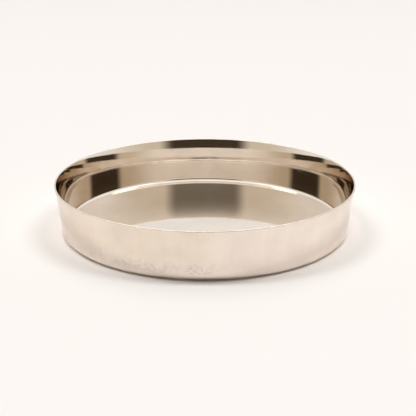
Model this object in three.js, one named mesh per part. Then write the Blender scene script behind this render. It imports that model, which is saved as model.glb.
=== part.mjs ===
// A shallow round dessert plate, pressed from one disc of stainless steel sheet.
// The sheet keeps one gauge all the way: the base, the pressed corner, the flared wall and the rim.
// Millimetres, +Z up. The origin is on the table, under the middle of the dish.

import * as THREE from 'three';

// Driving dimensions, in millimetres unless a comment says degrees
const RIM_DIAMETER = 150; // across the outside of the rim
const HEIGHT = 25; // from the table to the top of the rim
const SHEET = 0.8; // gauge of the stainless steel sheet
const WALL_FLARE = 6; // degrees that the wall leans out from upright
const CORNER_RADIUS = 2.2; // outside radius of the pressed corner between base and wall
const STANDING_RING = 9; // width of the flat ring that the dish stands on
const BASE_RISE = 0.5; // how far the middle of the base is set up off the table

// Fineness of the faceted surface
const FACETS_ROUND = 120; // facets round the axis
const CURVE_STEPS = 4; // steps along the base's curve; an arc takes twice as many

// The half profile of the dish: x is the distance from the axis, y the height above the table.
// It runs out along the underside, up the outside, over the rim and back along the inside.
function dishProfile() {
	const flare = THREE.MathUtils.degToRad( WALL_FLARE );
	const straightDown = - Math.PI / 2;
	const halfSheet = SHEET / 2;

	// The rim's edge is dressed to a full round, whose centre ends the middle line of the wall
	const rimX = RIM_DIAMETER / 2 - halfSheet;
	const rimY = HEIGHT - halfSheet;

	// The corner's centre lies as far inside the wall's middle line as it lies above that of the base
	const middleRadius = CORNER_RADIUS - halfSheet;
	const drop = rimY - CORNER_RADIUS + middleRadius * Math.sin( flare );
	const cornerX = rimX - middleRadius * Math.cos( flare ) - drop * Math.tan( flare );
	const cornerY = CORNER_RADIUS;

	// Inside the standing ring the base swells up in an easy curve, level at both ends
	const ringX = cornerX - STANDING_RING;
	const swellX = ringX / 2;

	const profile = new THREE.Path();
	profile.moveTo( 0, BASE_RISE );
	profile.bezierCurveTo( swellX, BASE_RISE, swellX, 0, ringX, 0 );
	profile.lineTo( cornerX, 0 );
	profile.absarc( cornerX, cornerY, CORNER_RADIUS, straightDown, - flare, false );
	profile.absarc( rimX, rimY, halfSheet, - flare, Math.PI - flare, false );
	profile.absarc( cornerX, cornerY, CORNER_RADIUS - SHEET, - flare, straightDown, true );
	profile.lineTo( ringX, SHEET );
	profile.bezierCurveTo( swellX, SHEET, swellX, BASE_RISE + SHEET, 0, BASE_RISE + SHEET );
	return profile.getPoints( CURVE_STEPS );
}

// The dish itself: the profile turned once round the axis, which is then stood up along Z
function dish() {
	const geometry = new THREE.LatheGeometry( dishProfile(), FACETS_ROUND );
	geometry.rotateX( Math.PI / 2 );
	const steel = new THREE.MeshStandardMaterial( { color: 0xd8d0c6, metalness: 1, roughness: 0.2 } );
	const mesh = new THREE.Mesh( geometry, steel );
	mesh.name = 'dish';
	return mesh;
}

const dessertPlate = new THREE.Group();
dessertPlate.name = 'dessert_plate';
dessertPlate.add( dish() );

export default dessertPlate;
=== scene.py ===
"""Looks of a shallow round dessert plate in pressed stainless steel, built round its CAD frame."""
import math

import bpy
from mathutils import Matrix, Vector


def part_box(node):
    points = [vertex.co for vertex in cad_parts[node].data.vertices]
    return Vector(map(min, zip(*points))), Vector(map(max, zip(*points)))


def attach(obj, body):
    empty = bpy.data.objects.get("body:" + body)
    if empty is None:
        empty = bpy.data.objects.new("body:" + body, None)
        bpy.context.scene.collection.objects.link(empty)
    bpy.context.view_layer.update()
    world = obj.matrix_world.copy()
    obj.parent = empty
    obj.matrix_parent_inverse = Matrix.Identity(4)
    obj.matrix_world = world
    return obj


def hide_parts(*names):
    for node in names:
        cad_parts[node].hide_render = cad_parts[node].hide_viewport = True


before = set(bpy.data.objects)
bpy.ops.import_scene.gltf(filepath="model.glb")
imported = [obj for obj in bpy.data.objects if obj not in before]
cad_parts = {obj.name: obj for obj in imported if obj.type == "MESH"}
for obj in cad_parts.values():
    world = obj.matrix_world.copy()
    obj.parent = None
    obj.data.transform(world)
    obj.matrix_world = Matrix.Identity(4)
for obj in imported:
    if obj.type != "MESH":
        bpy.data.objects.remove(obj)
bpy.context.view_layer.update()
scene = bpy.context.scene
scene.view_settings.view_transform = "Standard"


# The camera
# It stands in front of the dish and looks down on it at the angle of the photograph, through a long lens.
# Its place and lens come from a fit of the solid's outline to the photographed one.
look_down = 19.494
camera_data = bpy.data.cameras.new("photograph_view")
camera_data.sensor_width = 36.0
camera_data.lens = 86.54
camera = bpy.data.objects.new("photograph_view", camera_data)
camera.location = (0.00154, -0.47853, 0.17869)
camera.rotation_euler = (math.radians(90.0 - look_down), 0.0, 0.0)
scene.collection.objects.link(camera)
scene.camera = camera


# The dish
# One disc of stainless steel sheet, pressed to a level base, a rounded corner and a wall that ends in a lip.
# Its edge is trimmed and dressed to a full round, the inside mirror polished and the outside buffed.
MM = 0.001
gauge = 0.8 * MM
wall_flare = math.radians(5.75)
lip_reach = 0.7 * MM
lip_height = 18.0 * MM
lip_power = 4
corner_radius = 2.7 * MM
standing_ring = 9.0 * MM
base_rise = 0.5 * MM
sides = 256
corner_steps = 14
wall_rows = 22
base_rings = 20

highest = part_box("dish")[1]
rim_radius = highest.x
dish_height = highest.z

# The sharp outline that the press rounds off: the wall's outer face runs from the table to the trimmed edge,
# and leans out further the nearer it comes to the edge
lip_lean = wall_flare + math.atan(lip_power * lip_reach / lip_height)
edge_x = rim_radius - gauge / 2 + gauge / 2 * (math.sin(lip_lean) + math.cos(lip_lean))
edge_z = dish_height - gauge / 2 + gauge / 2 * (math.cos(lip_lean) - math.sin(lip_lean))
wall_x = edge_x - lip_reach
foot_x = wall_x - edge_z * math.tan(wall_flare)
corner_reach = corner_radius / math.tan((math.pi / 2 + wall_flare) / 2)

bpy.ops.object.select_all(action="DESELECT")
bpy.ops.mesh.primitive_circle_add(vertices=sides, radius=foot_x, fill_type="NGON")
dish = bpy.context.object
dish.name = "pressed_dish"
dish.data.name = "pressed_dish"


def choose(kind, test):
    """Selects only the faces or edges of the dish, in edit mode, whose middle and normal pass the test."""
    bpy.ops.mesh.select_mode(type=kind)
    bpy.ops.mesh.select_all(action="DESELECT")
    bpy.ops.object.mode_set(mode="OBJECT")
    mesh = dish.data
    if kind == "FACE":
        for face in mesh.polygons:
            face.select = test(face.center, face.normal)
    else:
        for edge in mesh.edges:
            start, end = (mesh.vertices[i].co for i in edge.vertices)
            edge.select = test((start + end) / 2, (end - start).normalized())
    bpy.ops.object.mode_set(mode="EDIT")


bpy.ops.object.mode_set(mode="EDIT")

# The wall is drawn up from the edge of the base
choose("EDGE", lambda middle, way: math.hypot(middle.x, middle.y) > 0.9 * foot_x)
bpy.ops.mesh.extrude_edges_move(TRANSFORM_OT_translate={"value": (0.0, 0.0, edge_z)})
bpy.ops.transform.resize(value=(wall_x / foot_x, wall_x / foot_x, 1.0))

# The press leaves a round corner between base and wall
choose("EDGE", lambda middle, way: abs(way.z) < 0.1 and middle.z < edge_z / 2)
bpy.ops.mesh.bevel(offset=corner_reach, segments=corner_steps, profile=0.5, affect="EDGES")

# The wall gets rows of faces, and the upper rows are turned out to a slight lip in an easy curve
choose("EDGE", lambda middle, way: abs(way.z) > 0.9 and middle.z > 0.3 * edge_z)
bpy.ops.mesh.subdivide(number_cuts=wall_rows - 1)
bpy.ops.object.mode_set(mode="OBJECT")
row_heights = {round(vertex.co.z, 6) for vertex in dish.data.vertices if vertex.co.z > edge_z - lip_height}
bpy.ops.object.mode_set(mode="EDIT")
for row_height in sorted(row_heights):
    choose("EDGE", lambda middle, way: abs(way.z) < 0.1 and abs(middle.z - row_height) < 0.01 * MM)
    row_radius = wall_x - (edge_z - row_height) * math.tan(wall_flare)
    turned_out = lip_reach * ((row_height - edge_z + lip_height) / lip_height) ** lip_power
    spread = 1.0 + turned_out / row_radius
    bpy.ops.transform.resize(value=(spread, spread, 1.0))

# The base stands on a flat ring, and swells up inside it in an easy curve
choose("FACE", lambda middle, normal: middle.length < 0.1 * foot_x)
bpy.ops.mesh.inset(thickness=standing_ring)
swell_radius = foot_x - corner_reach - standing_ring
risen = 0.0
for ring in range(1, base_rings):
    bpy.ops.mesh.inset(thickness=swell_radius / base_rings)
    rise = base_rise * (1.0 - math.cos(math.pi * ring / base_rings)) / 2
    bpy.ops.transform.translate(value=(0.0, 0.0, rise - risen))
    risen = rise
bpy.ops.mesh.poke(offset=base_rise - risen, center_mode="MEDIAN")

# All faces look outwards before the sheet gets its thickness
bpy.ops.mesh.select_all(action="SELECT")
bpy.ops.mesh.remove_doubles(threshold=0.001 * MM)
bpy.ops.mesh.normals_make_consistent(inside=False)
bpy.ops.object.mode_set(mode="OBJECT")
base_face = min(dish.data.polygons, key=lambda face: face.center.xy.length)
if base_face.normal.z > 0.0:
    dish.data.flip_normals()

OUTSIDE, INSIDE, EDGE, UNDERSIDE = range(4)
sheet = dish.modifiers.new("sheet_gauge", "SOLIDIFY")
sheet.thickness = gauge
sheet.offset = -1.0
sheet.use_even_offset = True
sheet.material_offset = INSIDE
sheet.material_offset_rim = EDGE


def add_node(tree, kind, inputs, **settings):
    """Adds a shader node; each input takes a plain value, or another node's output to be linked to it."""
    node = tree.nodes.new("ShaderNode" + kind)
    for setting, value in settings.items():
        setattr(node, setting, value)
    for name, value in inputs.items():
        if isinstance(value, bpy.types.NodeSocket):
            tree.links.new(value, node.inputs[name])
        else:
            node.inputs[name].default_value = value
    return node


def scaled(tree, vector, factors):
    return add_node(tree, "VectorMath", {0: vector, 1: factors}, operation="MULTIPLY").outputs["Vector"]


def product(tree, first, second):
    return add_node(tree, "Math", {0: first, 1: second}, operation="MULTIPLY").outputs["Value"]


def raised(tree, base, value, share):
    """The base value, raised by a share of another value."""
    return add_node(tree, "Math", {0: value, 1: share, 2: base}, operation="MULTIPLY_ADD").outputs["Value"]


def ramp(tree, value, start, end, low=0.0, high=1.0):
    """Eases from low to high while the value goes from start to end."""
    ends = {"Value": value, "From Min": start, "From Max": end, "To Min": low, "To Max": high}
    return add_node(tree, "MapRange", ends, interpolation_type="SMOOTHSTEP").outputs["Result"]


def blend(tree, factor, first, second):
    """Mixes two colours, each a plain one or another node's output."""
    inputs = {"Factor": factor}
    for name, colour in (("A", first), ("B", second)):
        inputs[name] = colour if isinstance(colour, bpy.types.NodeSocket) else (*colour, 1.0)
    return add_node(tree, "Mix", inputs, data_type="RGBA").outputs["Result"]


def darkened(tree, colour, factor, dark):
    """Multiplies a colour by a dark tint, as far as the factor says."""
    colours = {"Factor": factor, "A": colour, "B": (*dark, 1.0)}
    return add_node(tree, "Mix", colours, data_type="RGBA", blend_type="MULTIPLY").outputs["Result"]


def mottle(tree, where, size, detail=2.0):
    """Even noise from 0 to 1, its lumps about as wide as the given size in metres."""
    return add_node(tree, "TexNoise", {"Vector": where, "Scale": 1.0 / size, "Detail": detail}).outputs[0]


def relief(tree, height, depth, below=None):
    """Raises the surface by up to the given depth in metres, over the relief below it."""
    inputs = {"Height": height, "Distance": depth, "Strength": 1.0}
    if below:
        inputs["Normal"] = below
    return add_node(tree, "Bump", inputs).outputs["Normal"]


def steel_finish(name):
    """Starts one finish of the steel, in the next material slot of the dish."""
    material = bpy.data.materials.new(name)
    material.use_nodes = True
    dish.data.materials.append(material)
    shader = material.node_tree.nodes["Principled BSDF"]
    shader.inputs["Metallic"].default_value = 1.0
    shader.inputs["Specular Tint"].default_value = (0.9, 0.89, 0.88, 1.0)
    return material.node_tree, shader


def places(tree):
    """The place on the dish, its heading from the axis, its distance from the axis and its height."""
    place = add_node(tree, "TexCoord", {}).outputs["Object"]
    level = scaled(tree, place, (1.0, 1.0, 0.0))
    heading = add_node(tree, "VectorMath", {0: level}, operation="NORMALIZE").outputs["Vector"]
    radius = add_node(tree, "VectorMath", {0: level}, operation="LENGTH").outputs["Value"]
    height = add_node(tree, "SeparateXYZ", {0: place}).outputs["Z"]
    return place, heading, radius, height


def turned_marks(tree, heading, radius, height, width, length):
    """Marks that a wheel leaves round the axis, as wide and about as long as given in metres."""
    along = add_node(tree, "Math", {0: radius, 1: height}, operation="ADD").outputs["Value"]
    profile = add_node(tree, "CombineXYZ", {"Z": along}).outputs["Vector"]
    squeeze = rim_radius * width / length
    inputs = {0: heading, 1: (squeeze, squeeze, squeeze), 2: profile}
    where = add_node(tree, "VectorMath", inputs, operation="MULTIPLY_ADD").outputs["Vector"]
    return mottle(tree, where, width)


def drawn_marks(tree, heading, place, width, length):
    """Marks that run up the wall, the way that the press drew the sheet."""
    squeeze = width / length
    upright = scaled(tree, place, (0.0, 0.0, squeeze))
    inputs = {0: heading, 1: (rim_radius, rim_radius, rim_radius), 2: upright}
    where = add_node(tree, "VectorMath", inputs, operation="MULTIPLY_ADD").outputs["Vector"]
    return mottle(tree, where, width)


def buffed_outside():
    """Bright but not quite a mirror: cloudy, with faint upright marks, a speckled band over the foot that is
    partly scuffs and partly painted shade, painted shade on one side and a painted highlight along the bend.
    """
    tree, shader = steel_finish("buffed_outside")
    place, heading, _, height = places(tree)
    clouds = mottle(tree, place, 16 * MM, 3.0)
    drawn = drawn_marks(tree, heading, place, 0.9 * MM, 14 * MM)
    colour = blend(tree, ramp(tree, clouds, 0.32, 0.68), (0.85, 0.76, 0.685), (0.925, 0.836, 0.762))
    colour = darkened(tree, colour, ramp(tree, drawn, 0.45, 0.75, 0.0, 0.35), (0.93, 0.925, 0.92))

    # Painted shade: the steel is darkened and warmed in soft blotches over the left and middle of the wall,
    # fading out on the right and towards the foot
    sideways = add_node(tree, "SeparateXYZ", {0: place}).outputs["X"]
    blotches = mottle(tree, place, 20 * MM)
    shaded_side = ramp(tree, raised(tree, sideways, blotches, 60 * MM), 62 * MM, 32 * MM)
    spots = ramp(tree, mottle(tree, place, 9 * MM), 0.5, 0.66, 0.75, 1.0)
    shade_blotches = product(tree, spots, ramp(tree, height, 4 * MM, 13 * MM))
    colour = darkened(tree, colour, product(tree, shaded_side, shade_blotches), (0.915, 0.89, 0.835))

    # A darker speckled band over the foot, with a ragged upper edge and only on the shaded side: partly
    # scuffs that the wheel left in the bend, partly painted shade
    ragged = drawn_marks(tree, heading, place, 1.3 * MM, 6 * MM)
    upper = ramp(tree, raised(tree, height, ragged, -9 * MM), 5.5 * MM, 1.0 * MM)
    reach = product(tree, upper, ramp(tree, height, 2.4 * MM, 4.2 * MM))
    patches = ramp(tree, mottle(tree, place, 11 * MM), 0.38, 0.62, 0.15, 1.0)
    speckle = ramp(tree, mottle(tree, place, 1.2 * MM), 0.42, 0.62, 0.2, 1.0)
    scuffs = product(tree, product(tree, reach, patches), product(tree, speckle, shaded_side))
    colour = darkened(tree, colour, scuffs, (0.85, 0.835, 0.815))

    # Painted highlight: the colour is lightened in a strip along the top of the bend, just over the foot
    bend = ramp(tree, height, 0.4 * MM, 1.4 * MM)
    painted_bend_highlight = product(tree, bend, ramp(tree, height, 6.0 * MM, 2.4 * MM, 0.0, 0.4))
    colour = blend(tree, painted_bend_highlight, colour, (0.94, 0.865, 0.79))
    tree.links.new(colour, shader.inputs["Base Color"])

    smooth = ramp(tree, clouds, 0.3, 0.7, 0.2, 0.13)
    tree.links.new(raised(tree, smooth, scuffs, 0.12), shader.inputs["Roughness"])
    waves = relief(tree, mottle(tree, place, 17 * MM), 22e-6)
    marks = relief(tree, drawn, 1.2e-6, waves)
    peel = product(tree, mottle(tree, place, 1.3 * MM), reach)
    tree.links.new(relief(tree, peel, 3e-6, marks), shader.inputs["Normal"])


def mirror_inside():
    """Wheel polished to a mirror: gently wavy, with fine lines round the axis and a few hair scratches."""
    tree, shader = steel_finish("mirror_inside")
    place, heading, radius, height = places(tree)
    lines = turned_marks(tree, heading, radius, height, 0.45 * MM, 16 * MM)
    clouds = mottle(tree, place, 22 * MM, 3.0)
    colour = blend(tree, ramp(tree, clouds, 0.3, 0.7), (0.81, 0.74, 0.665), (0.855, 0.787, 0.712))
    colour = darkened(tree, colour, ramp(tree, lines, 0.5, 0.72, 0.0, 0.4), (0.95, 0.945, 0.94))
    tree.links.new(colour, shader.inputs["Base Color"])

    # Scratches lie in three directions, each in patches of its own
    rough = ramp(tree, lines, 0.35, 0.7, 0.03, 0.065)
    for turn in (20.0, 75.0, 140.0):
        inputs = {"Vector": place, "Angle": math.radians(turn)}
        turned = add_node(tree, "VectorRotate", inputs, rotation_type="Z_AXIS").outputs["Vector"]
        hairs = mottle(tree, scaled(tree, turned, (1.0, 0.05, 0.4)), 2.0 * MM, 1.0)
        scratch = add_node(tree, "Math", {0: hairs, 1: 0.5, 2: 0.006}, operation="COMPARE").outputs["Value"]
        worn = product(tree, scratch, ramp(tree, mottle(tree, turned, 14 * MM), 0.5, 0.62))
        rough = raised(tree, rough, worn, 0.06)
    tree.links.new(rough, shader.inputs["Roughness"])
    waves = relief(tree, mottle(tree, place, 19 * MM, 1.0), 30e-6)
    tree.links.new(relief(tree, lines, 0.7e-6, waves), shader.inputs["Normal"])


def dressed_edge():
    """Filed and wheeled to a round: fine lines along the edge, and small nicks that are rubbed brighter."""
    tree, shader = steel_finish("dressed_edge")
    place, heading, radius, height = places(tree)
    lines = turned_marks(tree, heading, radius, height, 0.12 * MM, 5 * MM)
    nicks = mottle(tree, place, 2.4 * MM, 3.0)
    colour = blend(tree, ramp(tree, nicks, 0.35, 0.65), (0.69, 0.62, 0.55), (0.79, 0.72, 0.65))
    tree.links.new(colour, shader.inputs["Base Color"])
    tree.links.new(ramp(tree, lines, 0.35, 0.65, 0.26, 0.38), shader.inputs["Roughness"])
    dents = relief(tree, nicks, 6e-6)
    tree.links.new(relief(tree, lines, 0.8e-6, dents), shader.inputs["Normal"])


def spun_underside():
    """Left satin from the wheel: lines round the axis, and a standing ring dulled by tables and stacking."""
    tree, shader = steel_finish("spun_underside")
    place, heading, radius, height = places(tree)
    lines = turned_marks(tree, heading, radius, height, 0.5 * MM, 30 * MM)
    colour = blend(tree, ramp(tree, lines, 0.35, 0.65), (0.735, 0.68, 0.615), (0.83, 0.775, 0.71))
    ring = ramp(tree, radius, swell_radius, swell_radius + 0.2 * standing_ring)
    drags = ramp(tree, turned_marks(tree, heading, radius, height, 0.9 * MM, 5 * MM), 0.48, 0.66)
    scuffs = product(tree, ring, drags)
    colour = darkened(tree, colour, scuffs, (0.84, 0.83, 0.82))
    tree.links.new(colour, shader.inputs["Base Color"])
    satin = ramp(tree, lines, 0.35, 0.65, 0.22, 0.32)
    tree.links.new(raised(tree, satin, scuffs, 0.15), shader.inputs["Roughness"])
    waves = relief(tree, mottle(tree, place, 22 * MM), 35e-6)
    tree.links.new(relief(tree, lines, 2.5e-6, waves), shader.inputs["Normal"])


buffed_outside()
mirror_inside()
dressed_edge()
spun_underside()
bpy.ops.object.modifier_apply(modifier=sheet.name)
for face in dish.data.polygons:
    if face.material_index == OUTSIDE and face.normal.z < -0.9:
        face.material_index = UNDERSIDE

# The trimmed edge is dressed to a full round
bpy.ops.object.mode_set(mode="EDIT")
choose("EDGE", lambda middle, way: abs(way.z) < 0.05 and middle.z > edge_z - 0.3 * gauge)
bpy.ops.mesh.bevel(offset=0.49 * gauge, segments=6, profile=0.5, affect="EDGES", material=EDGE)
bpy.ops.mesh.select_all(action="SELECT")
bpy.ops.object.mode_set(mode="OBJECT")
bpy.ops.object.shade_smooth()

# The wall's rows keep their own slope in the shading, right up to the small rounds
even_shading = dish.modifiers.new("even_shading", "WEIGHTED_NORMAL")
bpy.ops.object.modifier_apply(modifier=even_shading.name)

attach(dish, "root")
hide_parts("dish")


# The table
# A wide plain sheet of warm white board that the dish stands on.
bpy.ops.object.select_all(action="DESELECT")
bpy.ops.mesh.primitive_plane_add(size=6.0, location=(0.0, 0.0, 0.0))
table = bpy.context.object
table.name = "table"
board = bpy.data.materials.new("warm_white_board")
board.use_nodes = True
board_shader = board.node_tree.nodes["Principled BSDF"]
board_shader.inputs["Base Color"].default_value = (0.955, 0.938, 0.934, 1.0)
board_shader.inputs["Roughness"].default_value = 0.9
board_shader.inputs["Specular IOR Level"].default_value = 0.1
table.data.materials.append(board)


# The light
# A white tent with a dim opening at the front, greyer cloth beside it, and small lamps high round the back.
# A long narrow lamp hangs crosswise far over the front of the dish and throws most of the light.
tent_white = (1.0, 0.975, 0.945)
side_cloth = (0.68, 0.6, 0.48)
room_share = (0.08, 0.066, 0.053)
front_shade = (0.15, 0.125, 0.095)
thrown_share = 0.3
small_lamps_share = 1.5
lamp_white = (1.0, 0.97, 0.93)
lamp_length = 6.0
lamp_width = 0.67
lamp_place = (0.0, -0.025, 4.0)
lamp_thrown = 11.7
lamp_mirrored = 1.3

world = bpy.data.worlds.new("light_tent")
scene.world = world
world.use_nodes = True
sky = world.node_tree
background = sky.nodes["Background"]
direction = add_node(sky, "TexCoord", {}).outputs["Generated"]
upwards = add_node(sky, "SeparateXYZ", {0: direction}).outputs["Z"]
compass = add_node(sky, "VectorMath", {0: scaled(sky, direction, (1.0, 1.0, 0.0))}, operation="NORMALIZE")
to_front = {0: compass.outputs["Vector"], 1: (0.0, -1.0, 0.0)}
frontwards = add_node(sky, "VectorMath", to_front, operation="DOT_PRODUCT").outputs["Value"]


def round_from_front(start, end):
    """Eases from 0 to 1 between two directions, in degrees round from the front of the tent."""
    return ramp(sky, frontwards, math.cos(math.radians(start)), math.cos(math.radians(end)))


def up_from_table(start, end):
    """Eases from 0 to 1 between two directions, in degrees up from the table."""
    return ramp(sky, upwards, math.sin(math.radians(start)), math.sin(math.radians(end)))


def unscattered(tree, path):
    """Is 1 for a ray that hasn't met the matt table yet, so for what is seen straight or in the steel."""
    inputs = {0: path["Diffuse Depth"], 1: 0.5}
    return add_node(tree, "Math", inputs, operation="LESS_THAN").outputs["Value"]


low = up_from_table(62.0, 18.0)
cloth = product(sky, round_from_front(110.0, 40.0), low)
opening = product(sky, round_from_front(39.0, 25.0), low)
tent = darkened(sky, blend(sky, cloth, tent_white, side_cloth), opening, room_share)

# On the table the whole front of the tent throws little light
shaded = product(sky, round_from_front(85.0, 45.0), up_from_table(75.0, 55.0))
thrown = blend(sky, shaded, tent_white, front_shade)

# The small lamps make one bright band, which ends where the front begins
band = product(sky, up_from_table(51.0, 53.0), up_from_table(63.0, 61.0))
small_lamps = product(sky, band, round_from_front(60.0, 80.0))

# The steel shows the tent as it is, the camera sees it white, and it gives the table less light than that
path = add_node(sky, "LightPath", {}).outputs
mirrored = product(sky, path["Is Glossy Ray"], unscattered(sky, path))
shown = blend(sky, mirrored, thrown, tent)
shown = blend(sky, path["Is Camera Ray"], shown, tent_white)
sky.links.new(shown, background.inputs["Color"])
seen = path["Is Camera Ray"]
for kind in ("Is Glossy Ray", "Is Transmission Ray"):
    seen = add_node(sky, "Math", {0: seen, 1: path[kind]}, operation="MAXIMUM").outputs["Value"]
glow = ramp(sky, seen, 0.0, 1.0, thrown_share, 1.0)
sky.links.new(raised(sky, glow, small_lamps, small_lamps_share), background.inputs["Strength"])

bpy.ops.object.select_all(action="DESELECT")
bpy.ops.mesh.primitive_plane_add(size=1.0, location=lamp_place)
lamp = bpy.context.object
lamp.name = "crosswise_lamp"
bpy.ops.transform.resize(value=(lamp_length, lamp_width, 1.0))
lamp_panel = bpy.data.materials.new("lamp_panel")
lamp_panel.use_nodes = True
panel_tree = lamp_panel.node_tree
lamp_shader = panel_tree.nodes["Principled BSDF"]
lamp_shader.inputs["Base Color"].default_value = (0.0, 0.0, 0.0, 1.0)
lamp_shader.inputs["Emission Color"].default_value = (*lamp_white, 1.0)

# Seen straight in the steel the panel is toned down, so that its reflection keeps the steel's colour
panel_path = add_node(panel_tree, "LightPath", {}).outputs
panel_mirrored = product(panel_tree, panel_path["Is Glossy Ray"], unscattered(panel_tree, panel_path))
output = ramp(panel_tree, panel_mirrored, 0.0, 1.0, lamp_thrown, lamp_mirrored)
panel_tree.links.new(output, lamp_shader.inputs["Emission Strength"])
lamp.data.materials.append(lamp_panel)

# Light that the steel throws on the table stays sharp, and reflections go on to the ends of the wall
scene.cycles.blur_glossy = 0.0
scene.cycles.glossy_bounces = 12
